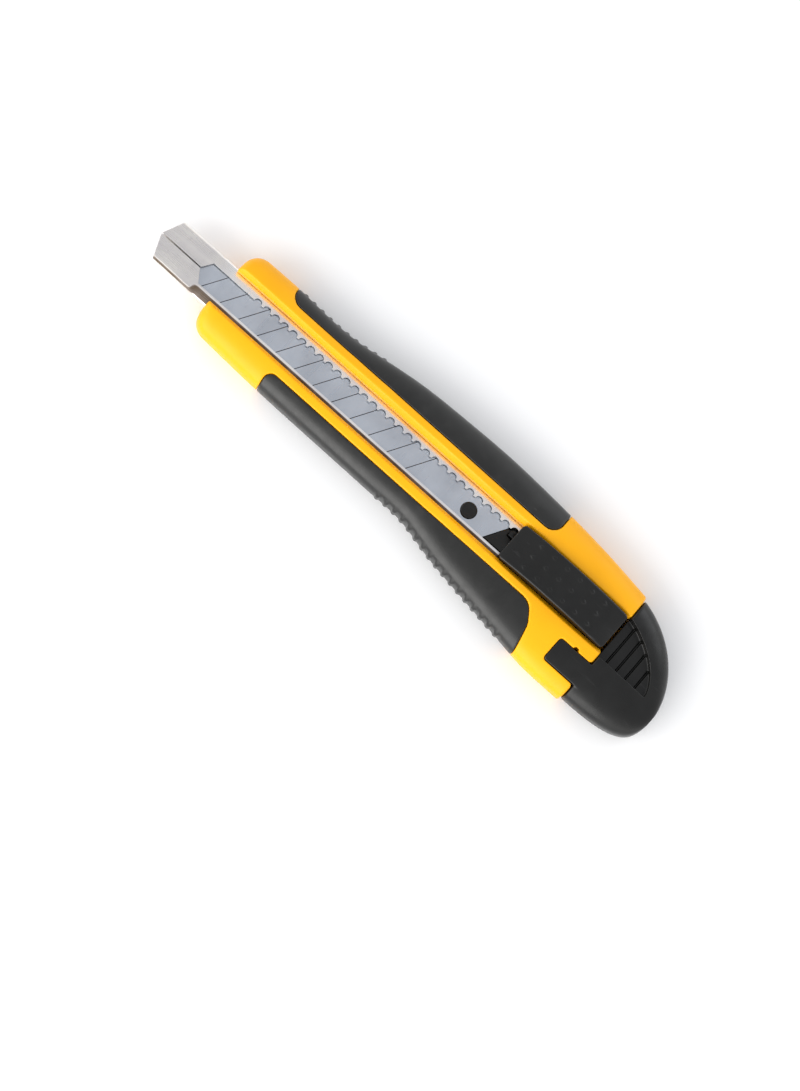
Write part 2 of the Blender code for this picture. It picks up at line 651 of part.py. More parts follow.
# --- Assembly -----------------------------------------------------------------------
def make_material(name):
    colour, roughness, metallic = COLOURS[name]
    material = bpy.data.materials.new(name)
    material.use_nodes = True
    shader = material.node_tree.nodes["Principled BSDF"]
    shader.inputs["Base Color"].default_value = (*colour, 1.0)
    shader.inputs["Roughness"].default_value = roughness
    shader.inputs["Metallic"].default_value = metallic
    return material


def paint(piece, material_name):
    """Give a piece its own material."""
    material = make_material(material_name)
    material.name = piece.name
    piece.data.materials.clear()
    piece.data.materials.append(material)


def set_axis(name, point, pieces, parent=None):
    """An empty on a joint's axis, which carries the pieces that move there."""
    axis = bpy.data.objects.new(name, None)
    axis.location = place(*point)
    bpy.context.scene.collection.objects.link(axis)
    bpy.context.view_layer.update()
    for piece in pieces:
        piece.parent = axis
        piece.matrix_parent_inverse = axis.matrix_world.inverted()
    if parent:
        axis.parent = parent
        axis.matrix_parent_inverse = parent.matrix_world.inverted()
    return axis


def new_collection(name):
    collection = bpy.data.collections.new(name)
    bpy.context.scene.collection.children.link(collection)
    return collection


def main():
    for old in list(bpy.data.objects):
        bpy.data.objects.remove(old)
    parts = new_collection("snap_off_knife")
    cutters = new_collection("cutters")

    body = make_body(parts, cutters)
    spine_grip = make_grip("spine_grip", "spine", parts, cutters)
    edge_grip = make_grip("edge_grip", "edge", parts, cutters)
    channel = make_channel(parts, cutters)
    end_cap = make_end_cap(parts, cutters)
    blade = make_blade(parts, cutters)
    carriage = make_carriage(parts, cutters)
    stud = make_stud(parts)
    slider = make_slider(parts, cutters)
    pawl = make_pawl(parts)
    spring = make_pawl_spring(parts)

    for piece, material in ((body, "yellow_plastic"), (spine_grip, "soft_grip"),
                            (edge_grip, "soft_grip"), (channel, "channel_steel"),
                            (end_cap, "black_plastic"), (blade, "blade_steel"),
                            (carriage, "black_plastic"), (stud, "black_plastic"),
                            (slider, "black_plastic"), (pawl, "black_plastic"),
                            (spring, "spring_steel")):
        paint(piece, material)

    blade_run = set_axis("blade_run", (STUD_X, STUD_Y, BLADE_Z), [carriage, blade, stud, spring])
    set_axis("thumb_travel", (SLIDER_FRONT, 0, SLIDER_FLOOR), [slider], blade_run)
    set_axis("pawl_travel", (PAWL_REAR, 1.3, CHANNEL_FLOOR + 1.9), [pawl], blade_run)
    set_axis("cap_travel", (BODY_REAR, 0, WAIST), [end_cap])

    for cutter in cutters.objects:
        cutter.hide_render = True
        cutter.display_type = "WIRE"


main()
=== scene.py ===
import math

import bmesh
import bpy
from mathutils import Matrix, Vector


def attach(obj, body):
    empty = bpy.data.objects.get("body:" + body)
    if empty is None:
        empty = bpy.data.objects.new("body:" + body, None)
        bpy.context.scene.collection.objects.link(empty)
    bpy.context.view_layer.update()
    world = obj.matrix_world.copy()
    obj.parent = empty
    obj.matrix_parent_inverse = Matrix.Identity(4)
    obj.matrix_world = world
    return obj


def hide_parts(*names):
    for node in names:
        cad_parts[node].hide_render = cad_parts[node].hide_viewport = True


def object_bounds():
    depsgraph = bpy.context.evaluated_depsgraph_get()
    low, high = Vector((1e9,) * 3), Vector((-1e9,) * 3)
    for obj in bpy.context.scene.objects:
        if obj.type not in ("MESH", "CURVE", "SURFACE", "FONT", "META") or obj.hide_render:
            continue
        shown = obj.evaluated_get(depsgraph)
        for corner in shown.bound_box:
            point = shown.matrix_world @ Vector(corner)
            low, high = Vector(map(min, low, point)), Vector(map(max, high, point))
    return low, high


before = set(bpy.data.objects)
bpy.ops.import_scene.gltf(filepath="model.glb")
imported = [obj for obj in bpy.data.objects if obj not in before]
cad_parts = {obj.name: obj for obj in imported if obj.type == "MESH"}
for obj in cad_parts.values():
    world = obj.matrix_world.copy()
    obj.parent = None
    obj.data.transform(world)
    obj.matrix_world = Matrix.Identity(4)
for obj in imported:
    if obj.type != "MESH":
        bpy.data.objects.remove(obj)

# The looks of a 9 mm snap-off knife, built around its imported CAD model.
#
# Dimensions are in millimetres. X runs from the nose (0) to the tail, Y from the blade's
# centreline towards the spine side, and Z up from the flat back that the knife rests on.
# The handle, its grips, the cap and the slider are modelled sharp, then resampled on a fine
# grid and smoothed, which gives them the small fillets of real mouldings.

CAD_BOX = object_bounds()
MM = 0.001
LENGTH = (CAD_BOX[1].x - CAD_BOX[0].x) / MM

# --- The CAD model's driving dimensions, and details that go with them -----------------
BODY_FRONT = 16.4
BODY_REAR = 121.8
FRONT_CORNER = 3.6           # plan radius of the body's two front corners
FRONT_ROUND = 1.5            # rounding of the front end over the body's thickness
CROWN = 9.6                  # height of the body above its back
WAIST = 4.8                  # height of the widest part of the side
SIDE_POWER = 2 / 3           # how square the handle's cross-section is
BACK_FULLNESS = 1.12         # how far the back is filled out before it is cut flat
GRIP_DEPTH = 1.1             # thickness of the soft grips
GRIP_INNER_Y = 6.95          # where the grips start, either side of the centreline
GRIP_OUTER_Y = 20            # well outside the handle, for the grips' outlines
SPINE_GRIP_FRONT = (28.2, 27.9)      # front end of a grip: at its inner edge, well outside
SPINE_GRIP_REAR = 99.4
SPINE_GRIP_CORNER = 2.8      # plan radius of its corners
EDGE_GRIP_FRONT = (34.6, 36.9)
EDGE_GRIP_REAR = (104.3, 107.0, 109.6)       # rear end: inner edge, knee, well outside
EDGE_GRIP_KNEE_Y = -10.5
EDGE_GRIP_CORNERS = (1.7, 3.5, 4.0)  # plan radii: front, rear, knee

CHANNEL_FLOOR = 4.2
CHANNEL_REAR = 121.2
SHEET = 0.4
CHANNEL_HEIGHT = 2.3
CHANNEL_HALF = 5.1
LIP_CREST = 3.1              # where the sloping lip, on the edge side, levels out
LIP_DROP = 0.9               # how far that lip falls from its crest to the side wall
LIP_START = 11.2             # where the slope begins, behind the flat nose flaps
LIP_FULL = 13.0
NOSE_NARROWING = 0.15        # how much narrower each side is at the very nose
NOSE_CORNER = 2.1            # length of the pointed nose
FLAP_REAR = 10.4             # where the slit between the nose flaps ends
WINDOW_UPPER = 2.5
WINDOW_LOWER = -2.8
WINDOW_FRONT_UPPER = 11.9    # where the window reaches its full width on each side
WINDOW_FRONT_LOWER = 12.3
WINDOW_DEPTH = 1.3           # height above the channel's floor that the window is cut to
NOTCH_PITCH = 2.386
NOTCH_COUNT = 30
FIRST_NOTCH = 23.7
NOTCH_HALF = 0.9
NOTCH_DEPTH = 0.85

BLADE_TOP = CHANNEL_FLOOR + 1.35
SCORE_DEPTH = 0.12

RAIL_HALF = 4.3              # half of the gap between the body's rails
RAIL_EDGE = 8.3              # height of the rails' inner edges
RAIL_CREST_HALF = 5.3        # where the bevel on each rail reaches its crown

STUD_X = 83.2
STUD_Y = -0.3
STUD_R = 1.7
STUD_FOOT_R = 1.1
STUD_FOOT = CHANNEL_FLOOR + SHEET + 0.1      # the stud's underside, just above the channel's floor
STUD_SEAT = CHANNEL_FLOOR + 0.9      # where the head's wide part starts
STUD_CROWN = CHANNEL_FLOOR + 1.75

SLIDER_FRONT = 93.5
SLIDER_LENGTH = 27.8
SLIDER_HALF = 4.4
SLIDER_WAIST = 4.0
FLANGE_FLOOR = 8.75
SLIDER_FLOOR = 6.8
SLIDER_EDGE = 9.7
SLIDER_TOP = 11.4
SLIDER_ARCH = 2.4            # exponent of the slider's arch
HOLLOW_FRONT = 94.9          # the hollow under the slider, round the carriage's neck
HOLLOW_REAR = 120.0
HOLLOW_HALF = 2.6
HOLLOW_DEPTH = 1.35
PIP_PITCH = 3.3
PIP_ROW_PITCH = 2.8
PIP_COLUMNS = 6
PIP_ROWS = 3

TAIL_CENTRE_X = 118.0
TAIL_CENTRE_Y = -7.4
TAIL_UPPER = 17.9
TAIL_UPPER_POWER = 1.9
TAIL_LOWER = 8.75
TAIL_LOWER_POWER = 3.7
TAIL_THINNING = 1.6          # how much the cap thins, top and bottom, at its very end
TAIL_THINNING_POWER = 2.5
TAIL_END = 0.997             # how much of the cap's curves is used, short of their very tip
TAB_FRONT = 113.9
TAB_LOW = -13.45
TAB_HIGH = -8.1
TAB_Z = 5.6                  # height of the tab's underside
TAB_CLEAR = CROWN + 2.4      # above the tab, for what cuts it and its slot
SNAP_X = 117.7               # the tab's snap nub
SNAP_R = 0.5
SNAP_TOP = 8.6
SNAP_NOTCH_R = 0.6           # the notch in the body that the nub snaps into
SNAP_NOTCH_SHIFT = 0.2       # how far the notch's centre lies past the tab's edge
SPIGOT_FRONT = 115.0
SPIGOT_HALF = 3.5
SPIGOT_Z = (1.7, 3.0)
SOCKET_Z = (1.4, 3.3)        # the hollow in the body that the spigot goes into
RECESS_STEPS = (124.1, 126.6, 129.0, 131.6)   # grooves across the cap's thumb recess
RECESS_FLOOR = 6.9
RECESS_RISE = 0.28
RECESS_GROOVE_HALF = 0.22
RECESS_X = 118.0             # the recess's rim is a quarter of a rounded curve from here
RECESS_Y = -5.8
RECESS_REACH = 16.2
RECESS_HEIGHT = 11.0
RECESS_POWER = 1.7
RECESS_FRONT = BODY_REAR - 1.8       # the ends of what cuts the recess's floor
RECESS_REAR = LENGTH - 2.4

SPINE_EDGE = ((16.4, 10.4), (28.0, 10.55), (38.0, 10.25), (44.0, 10.5), (50.0, 11.4),
              (60.0, 12.8), (72.0, 13.45), (84.0, 13.7), (98.0, 13.15), (110.0, 12.25),
              (122.0, 10.75))
CUTTING_EDGE = ((16.4, 9.9), (35.0, 10.6), (65.0, 10.8), (74.0, 10.95), (84.0, 13.0),
                (94.0, 14.45), (104.0, 15.75), (112.0, 16.75), (122.0, 16.85))

# --- Dimensions of the finer detail ----------------------------------------------------
RING_SIDES = 144
SKIN = 0.02                  # how far the looks' surface lies inside the CAD model's
CUTTER_LOW = -5              # heights well clear of the knife, for what cuts grips and pockets
CUTTER_HIGH = 20
STATION = 1.0                # spacing of the handle's cross-sections
RIB_STATION = 0.16           # the same where the grips are ribbed
FINE_STATION = 0.25          # the same along the slider and where the channel's lip slopes
SEAM = 0.12                  # gap round the grips and the tab
CAP_SEAM = 0.15              # gap between the body and the cap
GAP = 0.3                    # round the channel and the spigot and under the tab, in the body
SEAM_ROUND = 0.5             # rounding of the body and the cap where they meet
PRONG_ROUND = 0.75           # plan radius of the corners at the body's rear end
MOULD_GRID = 0.19     # the grid that a moulding is resampled on
FINE_GRID = 0.13     # the same for the cap and the slider
RIB_PITCH = 2.25
RIB_WIDTH = 1.15
SPINE_RIBS = (30.0, 50.3, 0.5)       # first rib, last rib, height
EDGE_RIBS = (67.6, 104.0, 0.5)
RIB_FADE = (0.08, 0.34)      # where a rib starts to sink into the grip, and where it ends
SLIDER_CORNER = 0.9          # plan radius of the slider's corners
SLIDER_ROUND = 0.45          # rounding along the slider's upper edges
RECESS_GROOVE_DEPTH = 0.5    # a little deeper than in the CAD model
PIP_LENGTH = 1.3             # half-lengths of a pip's diamond, at its sunken foot
PIP_WIDTH = 0.95
PIP_FOOT = 0.3               # how far the foot lies under the slider's surface
PIP_HEIGHT = 0.1
PIP_TIP = 0.4                # size of a pip's flat top, as a share of its foot
BEND_RADIUS = 0.65           # outer radius of the channel's folds
SLIT = 0.26                  # width of the slit between the nose flaps
STUD_ROUND = 0.3             # rounding of the stud's head
STUD_DISH = ((0.0, 0.12), (0.45, 0.1), (0.62, 0.0))   # its dish: share of the radius, depth
CARRIAGE_BEVEL = 0.06
PAWL_BEVEL = 0.08
BLADE_FOLD = 15              # in degrees: the blade's folds that are sharper stay sharp


# --- Small tools -----------------------------------------------------------------------
def place(x, y, z):
    """A point in the row frame, in metres."""
    return Vector(((x - LENGTH / 2) * MM, y * MM, z * MM))


def smooth_value(table, x):
    """The height at x of a smooth curve through a table of points."""
    for index in range(len(table) - 1):
        if x <= table[index + 1][0] or index == len(table) - 2:
            break
    x0, y0 = table[index]
    x1, y1 = table[index + 1]
    before = table[max(index - 1, 0)]
    after = table[min(index + 2, len(table) - 1)]
    span = x1 - x0
    slope0 = (y1 - before[1]) / (x1 - before[0]) * span
    slope1 = (after[1] - y0) / (after[0] - x0) * span
    t = (x - x0) / span
    return ((2 * t**3 - 3 * t**2 + 1) * y0 + (t**3 - 2 * t**2 + t) * slope0
            + (3 * t**2 - 2 * t**3) * y1 + (t**3 - t**2) * slope1)


def smooth_step(low, high, value):
    """0 below low, 1 above high, and an even curve between them."""
    t = min(max((value - low) / (high - low), 0.0), 1.0)
    return t * t * (3 - 2 * t)


def spread(start, end, spacing):
    """Evenly spaced stations, no further apart than spacing."""
    count = max(math.ceil((end - start) / spacing), 1)
    return [start + (end - start) * step / count for step in range(count + 1)]


def new_object(name, mesh):
    made = bpy.data.objects.new(name, mesh)
    bpy.context.scene.collection.objects.link(made)
    return made


def tidy_mesh(mesh):
    """Weld a mesh's coincident points and turn its faces outwards."""
    work = bmesh.new()
    work.from_mesh(mesh)
    bmesh.ops.remove_doubles(work, verts=work.verts, dist=1e-7)
    bmesh.ops.recalc_face_normals(work, faces=work.faces)
    work.to_mesh(mesh)
    work.free()


def loft(name, rings):
    """A closed solid through a list of rings that have the same number of points."""
    count = len(rings[0])
    faces = [tuple(range(count)),
             tuple(range((len(rings) - 1) * count, len(rings) * count))]
    for ring in range(len(rings) - 1):
        for side in range(count):
            here = ring * count + side
            beside = ring * count + (side + 1) % count
            faces.append((here, beside, beside + count, here + count))
    mesh = bpy.data.meshes.new(name)
    mesh.from_pydata([place(*point) for ring in rings for point in ring], [], faces)
    tidy_mesh(mesh)
    return new_object(name, mesh)


def extrusion(name, outline, axis, low, high):
    """An outline extruded along an axis. Its two numbers are the other axes, in order."""
    to_point = {"X": lambda a, b, along: (along, a, b),
                "Y": lambda a, b, along: (a, along, b),
                "Z": lambda a, b, along: (a, b, along)}[axis]
    rings = [[to_point(a, b, along) for a, b in outline] for along in (low, high)]
    return loft(name, rings)


def block(name, x, y, z):
    outline = ((x[0], y[0]), (x[1], y[0]), (x[1], y[1]), (x[0], y[1]))
    return extrusion(name, outline, "Z", z[0], z[1])


def circle(x, y, radius, sides=48):
    """A round outline."""
    turns = [2 * math.pi * side / sides for side in range(sides)]
    return [(x + radius * math.cos(turn), y + radius * math.sin(turn)) for turn in turns]


def rounded(corners, steps=8):
    """An outline from (x, y, radius) corners, each corner turned into an arc."""
    outline = []
    for index, (x, y, radius) in enumerate(corners):
        corner = Vector((x, y))
        if radius == 0:
            outline.append((x, y))
            continue
        back = (Vector(corners[index - 1][:2]) - corner).normalized()
        ahead = (Vector(corners[(index + 1) % len(corners)][:2]) - corner).normalized()
        half_angle = back.angle(ahead) / 2
        reach = radius / math.tan(half_angle)
        centre = corner + (back + ahead).normalized() * radius / math.sin(half_angle)
        start = corner + back * reach - centre
        sweep = start.angle_signed(corner + ahead * reach - centre)
        for step in range(steps + 1):
            arm = start.copy()
            arm.rotate(Matrix.Rotation(-sweep * step / steps, 2))
            outline.append(tuple(centre + arm))
    return outline


def settle(piece):
    """Turn a piece's modifiers into its own mesh."""
    bpy.context.view_layer.update()
    evaluated = piece.evaluated_get(bpy.context.evaluated_depsgraph_get())
    mesh = bpy.data.meshes.new_from_object(evaluated)
    piece.modifiers.clear()
    piece.data = mesh
    return piece


def combine(piece, operation, *others):
    """Cut, join or intersect a piece with others, which are used up."""
    for other in others:
        step = piece.modifiers.new(other.name, "BOOLEAN")
        step.operation = operation
        step.solver = "EXACT"
        step.object = other
    settle(piece)
    for other in others:
        bpy.data.objects.remove(other)
    return piece


def mould(piece, grid, keep=0.35, passes=4):
    """Resample a sharp solid on a fine grid and smooth it, so that its edges are filleted."""
    resample = piece.modifiers.new("resample", "REMESH")
    resample.mode = "VOXEL"
    resample.voxel_size = grid * MM
    soft = piece.modifiers.new("soften", "SMOOTH")
    soft.factor = 0.5
    soft.iterations = passes
    thin = piece.modifiers.new("thin_out", "DECIMATE")
    thin.ratio = keep
    settle(piece)
    piece.data.shade_smooth()
    return piece


def shade_by_angle(piece, angle=32):
    """Shade a piece's curves smooth and keep its folds sharp."""
    piece.data.shade_smooth()
    piece.data.set_sharp_from_angle(angle=math.radians(angle))
    return piece


def bevelled(piece, width):
    """Merge a faceted piece's flat faces and give it small bevels on its sharp edges."""
    work = bmesh.new()
    work.from_mesh(piece.data)
    flat = [edge for edge in work.edges if edge.is_manifold and edge.calc_face_angle() < 0.01]
    bmesh.ops.dissolve_edges(work, edges=flat, use_verts=False)
    work.to_mesh(piece.data)
    work.free()
    bevel = piece.modifiers.new("edges", "BEVEL")
    bevel.width = width * MM
    bevel.segments = 2
    bevel.limit_method = "ANGLE"
    bevel.angle_limit = math.radians(35)
    return shade_by_angle(settle(piece))


def copy_of(node, name):
    """A welded copy of a CAD node's mesh, as a piece of its own."""
    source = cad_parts[node].data
    mesh = bpy.data.meshes.new(name)
    mesh.from_pydata([vertex.co for vertex in source.vertices], [],
                     [tuple(face.vertices) for face in source.polygons])
    tidy_mesh(mesh)
    return new_object(name, mesh)


def finish_piece(piece, material, body, slot, *nodes):
    """Paint a piece, hang it on the empty of what it rides on, and hide the CAD nodes that it
    replaces.
    """
    piece.data.materials.clear()
    piece.data.materials.append(material)
    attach(piece, body)
    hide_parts(*nodes)


# --- The handle's outer form -------------------------------------------------------------
def end_inset(x, radius):
    """How far a rounding of this radius draws in the body at its front end."""
    depth = min(max(x - BODY_FRONT, 0.0), radius)
    return radius - math.sqrt(radius**2 - (radius - depth) ** 2)


def seam_inset(x, seam_x):
    """How far the rounding beside the seam with the cap draws in the form at x."""
    depth = min(abs(x - seam_x), SEAM_ROUND)
    return SEAM_ROUND - math.sqrt(SEAM_ROUND**2 - (SEAM_ROUND - depth) ** 2)


def tail_span(x, exponent):
    """The share of the end cap's width that is left at x, from 1 down to nearly 0."""
    along = min((x - TAIL_CENTRE_X) / (LENGTH - TAIL_CENTRE_X), 1.0) * TAIL_END
    return (1 - along**exponent) ** (1 / exponent)


def handle_edges(x):
    """The handle's two edges at x: towards the cutting edge and towards the spine."""
    if x > BODY_REAR:
        return (TAIL_CENTRE_Y - TAIL_LOWER * tail_span(x, TAIL_LOWER_POWER),
                TAIL_CENTRE_Y + TAIL_UPPER * tail_span(x, TAIL_UPPER_POWER))
    corner = end_inset(x, FRONT_CORNER)
    return (corner - smooth_value(CUTTING_EDGE, x), smooth_value(SPINE_EDGE, x) - corner)


def rib_height(x, first, last, height):
    """How far a grip's ribs stand out at x: a row of rounded humps with flats between."""
    nearest = first + RIB_PITCH * round((x - first) / RIB_PITCH)
    if not first - 0.1 < nearest < last + 0.1:
        return 0.0
    offset = abs(x - nearest) / (RIB_WIDTH / 2)
    return height * math.sqrt(max(1 - offset**2, 0.0))


def handle_ring(x, inset=0.0, ribs=None, seam_x=None):
    """The handle's cross-section at x: soft sides, a low crown and a flat back."""
    inset += SKIN + (seam_inset(x, seam_x) if seam_x else 0.0)
    low, high = handle_edges(x)
    centre = (low + high) / 2
    half = (high - low) / 2 - inset
    if x > BODY_REAR:
        thin = TAIL_THINNING * (1 - tail_span(x, TAIL_THINNING_POWER))
    else:
        thin = end_inset(x, FRONT_ROUND)
    crown = CROWN - thin - inset
    back = thin + inset
    raised = rib_height(x, *ribs) - ribs[2] / 3 if ribs and ribs[0] - 1 < x < ribs[1] + 1 else 0.0
    ring = []
    for side in range(RING_SIDES):
        angle = 2 * math.pi * side / RING_SIDES
        across, up = math.cos(angle), math.sin(angle)
        on_side = 1 - smooth_step(*RIB_FADE, abs(up))
        reach_y = half + raised * on_side
        y = centre + reach_y * math.copysign(abs(across) ** SIDE_POWER, across)
        reach = abs(up) ** SIDE_POWER
        if up >= 0:
            z = WAIST + (crown - WAIST) * reach
        else:
            z = max(WAIST - (WAIST - back) * BACK_FULLNESS * reach, back)
        ring.append((x, y, z))
    return ring


def body_stations(ribs=None):
    """Where the body's cross-sections are: close together at its ends and at the ribs."""
    front = [BODY_FRONT + FRONT_CORNER * (step / 10) ** 2 for step in range(10)]
    rear = [BODY_REAR - SEAM_ROUND * (step / 5) ** 2 for step in reversed(range(5))]
    start, end = BODY_FRONT + FRONT_CORNER, BODY_REAR - SEAM_ROUND
    if not ribs:
        return front + spread(start, end, STATION) + rear
    first, last = ribs[0] - 1, ribs[1] + 1
    return (front + spread(start, first, STATION)[:-1] + spread(first, last, RIB_STATION)
            + spread(last, end, STATION)[1:] + rear)


def handle_form(name, inset=0.0, ribs=None):
    """The body's outer form, or one drawn inwards by inset."""
    rings = [handle_ring(x, inset, ribs, BODY_REAR) for x in body_stations(ribs)]
    return loft(name, rings)


# --- Moulded pieces ----------------------------------------------------------------------
def grip_outline(side, grow=0.0):
    """The plan outline of a grip, grown outwards by the seam when it cuts the body."""
    inner = GRIP_INNER_Y - grow
    if side == "spine":
        front, front_outside = (x - grow for x in SPINE_GRIP_FRONT)
        rear = SPINE_GRIP_REAR + grow
        return rounded(((front_outside, GRIP_OUTER_Y, 0), (front, inner, SPINE_GRIP_CORNER),
                        (rear, inner, SPINE_GRIP_CORNER), (rear, GRIP_OUTER_Y, 0)))
    front, front_outside = (x - grow for x in EDGE_GRIP_FRONT)
    rear, knee, rear_outside = (x + grow for x in EDGE_GRIP_REAR)
    front_radius, rear_radius, knee_radius = EDGE_GRIP_CORNERS
    return rounded(((front_outside, -GRIP_OUTER_Y, 0), (front, -inner, front_radius),
                    (rear, -inner, rear_radius), (knee, EDGE_GRIP_KNEE_Y, knee_radius),
                    (rear_outside, -GRIP_OUTER_Y, 0)))


def make_grip(name, side, ribs):
    """A soft grip: the ribbed skin of the handle's form inside the grip's outline."""
    grip = handle_form(name, 0.0, ribs)
    outline = extrusion("grip_outline", grip_outline(side), "Z", CUTTER_LOW, CUTTER_HIGH)
    core = handle_form("grip_core", GRIP_DEPTH)
    combine(grip, "INTERSECT", outline)
    combine(grip, "DIFFERENCE", core)
    return mould(grip, MOULD_GRID)


def grip_pocket(side):
    """The hollow that a grip lies in."""
    pocket = extrusion("pocket", grip_outline(side, SEAM), "Z", CUTTER_LOW - 1,
                       CUTTER_HIGH + 1)
    return combine(pocket, "DIFFERENCE", handle_form("pocket_core", GRIP_DEPTH + SEAM))


def tab_outline(grow=0.0):
    """The plan outline of the end cap's locking tab."""
    radius = 0.6 + grow
    return rounded(((TAB_FRONT - grow, TAB_LOW - grow, radius),
                    (BODY_REAR + 2, TAB_LOW - grow, 0), (BODY_REAR + 2, TAB_HIGH + grow, 0),
                    (TAB_FRONT - grow, TAB_HIGH + grow, radius)))


def prong_corner(y, side):
    """A cutter that rounds one corner of the body's rear end; side is where its plastic is."""
    radius, clear = PRONG_ROUND, 1.0
    outline = [(BODY_REAR + clear, y - side * clear), (BODY_REAR + clear, y + side * radius)]
    steps = 8
    for step in range(steps + 1):
        angle = math.pi / 2 * step / steps
        outline.append((BODY_REAR - radius * (1 - math.cos(angle)),
                        y + side * radius * (1 - math.sin(angle))))
    outline.append((BODY_REAR - radius, y - side * clear))
    return extrusion("prong_corner", outline, "Z", SOCKET_Z[1], CROWN + 2)


def make_body():
    """The yellow handle, cut for the channel, the slider, the grips and the end cap."""
    body = handle_form("handle_body")
    groove_half, groove_low = CHANNEL_HALF + GAP, CHANNEL_FLOOR - GAP
    half_section = ((groove_half, groove_low), (groove_half, SLIDER_FLOOR),
                    (RAIL_HALF, SLIDER_FLOOR), (RAIL_HALF, RAIL_EDGE),
                    (RAIL_CREST_HALF, CROWN), (RAIL_CREST_HALF, CROWN + 2))
    section = half_section + tuple((-y, z) for y, z in reversed(half_section))
    groove = extrusion("groove", section, "X", BODY_FRONT - 1, BODY_REAR + 1)
    tab_slot = extrusion("tab_slot", tab_outline(SEAM), "Z", TAB_Z - GAP, TAB_CLEAR)
    notch_plan = circle(SNAP_X, TAB_HIGH + SNAP_NOTCH_SHIFT, SNAP_NOTCH_R)
    snap_notch = extrusion("snap_notch", notch_plan, "Z", TAB_Z - GAP, TAB_CLEAR)
    socket_half = SPIGOT_HALF + GAP
    socket = block("socket", (SPIGOT_FRONT - 1, BODY_REAR + 1), (-socket_half, socket_half),
                   SOCKET_Z)
    corners = [prong_corner(TAB_HIGH + SEAM, 1), prong_corner(TAB_LOW - SEAM, -1),
               prong_corner(RAIL_HALF, 1), prong_corner(-RAIL_HALF, -1)]
    combine(body, "DIFFERENCE", groove, grip_pocket("spine"), grip_pocket("edge"),
            tab_slot, snap_notch, socket, *corners)
    return mould(body, MOULD_GRID, 0.3)


def recess_profile():
    """The side view of the thumb recess's floor, which rises in ribs towards the tail."""
    above = CROWN + 4
    profile = [(RECESS_FRONT, RECESS_FLOOR)]
    level = RECESS_FLOOR
    for x in RECESS_STEPS:
        near, far = x - RECESS_GROOVE_HALF, x + RECESS_GROOVE_HALF
        bottom = level - RECESS_GROOVE_DEPTH
        profile += [(near, level), (near, bottom), (far, bottom), (far, level + RECESS_RISE)]
        level += RECESS_RISE
    return profile + [(RECESS_REAR, level), (RECESS_REAR, above), (RECESS_FRONT, above)]


def recess_rim():
    """The plan outline of the thumb recess: one straight side and one curved rim."""
    steps = 48
    rim = [(RECESS_X - 2, RECESS_Y)]
    for step in range(steps + 1):
        angle = math.pi / 2 * step / steps
        rim.append((RECESS_X + RECESS_REACH * math.cos(angle) ** (2 / RECESS_POWER),
                    RECESS_Y + RECESS_HEIGHT * math.sin(angle) ** (2 / RECESS_POWER)))
    return rim + [(RECESS_X - 2, RECESS_Y + RECESS_HEIGHT)]


def make_end_cap():
    """The cap that closes the tail, with its tab, its spigot and a ribbed thumb recess."""
    front = BODY_REAR + CAP_SEAM
    span = LENGTH - SKIN - front
    stations = [front + SEAM_ROUND * (step / 5) ** 2 for step in range(5)]
    stations += [front + SEAM_ROUND + (span - SEAM_ROUND) * (1 - (1 - step / 40) ** 2)
                 for step in range(41)]
    cap = loft("tail_cap", [handle_ring(x, 0.0, None, front) for x in stations])
    tab = loft("tab", [handle_ring(x) for x in spread(TAB_FRONT - 1, BODY_REAR, 1.0)]
               + [handle_ring(front + 1.5)])
    combine(tab, "INTERSECT", extrusion("tab_limits", tab_outline(), "Z", TAB_Z, TAB_CLEAR))
    nub = extrusion("nub", circle(SNAP_X, TAB_HIGH - SNAP_R / 2, SNAP_R), "Z", TAB_Z,
                    SNAP_TOP)
    spigot = block("spigot", (SPIGOT_FRONT, front + 1), (-SPIGOT_HALF, SPIGOT_HALF), SPIGOT_Z)
    combine(cap, "UNION", tab, nub, spigot)
    recess = extrusion("recess", recess_profile(), "Y", -9, 9)
    combine(recess, "INTERSECT", extrusion("recess_rim", recess_rim(), "Z", 3, 16))
    combine(cap, "DIFFERENCE", recess)
    return mould(cap, FINE_GRID, 0.4, 6)


def slider_height(x):
    """The height of the slider's arch at x."""
    along = abs(x - SLIDER_FRONT - SLIDER_LENGTH / 2) / (SLIDER_LENGTH / 2)
    return SLIDER_EDGE + (SLIDER_TOP - SLIDER_EDGE) * (1 - along**SLIDER_ARCH)


def slider_ring(x):
    """The slider's cross-section at x: upright sides and a top with rounded edges."""
    top, half = slider_height(x), SLIDER_HALF
    section = rounded(((-half, SLIDER_FLOOR, 0), (half, SLIDER_FLOOR, 0),
                       (half, top, SLIDER_ROUND), (-half, top, SLIDER_ROUND)))
    return [(x, y, z) for y, z in section]


def make_pip(x, y):
    """One low diamond-shaped pip on the slider."""
    top = slider_height(x)
    corners = ((-PIP_LENGTH, 0), (0, -PIP_WIDTH), (PIP_LENGTH, 0), (0, PIP_WIDTH))
    foot = [(x + across, y + along, top - PIP_FOOT) for across, along in corners]
    tip = [(x + across * PIP_TIP, y + along * PIP_TIP, top + PIP_HEIGHT)
           for across, along in corners]
    return loft("pip", [foot, tip])


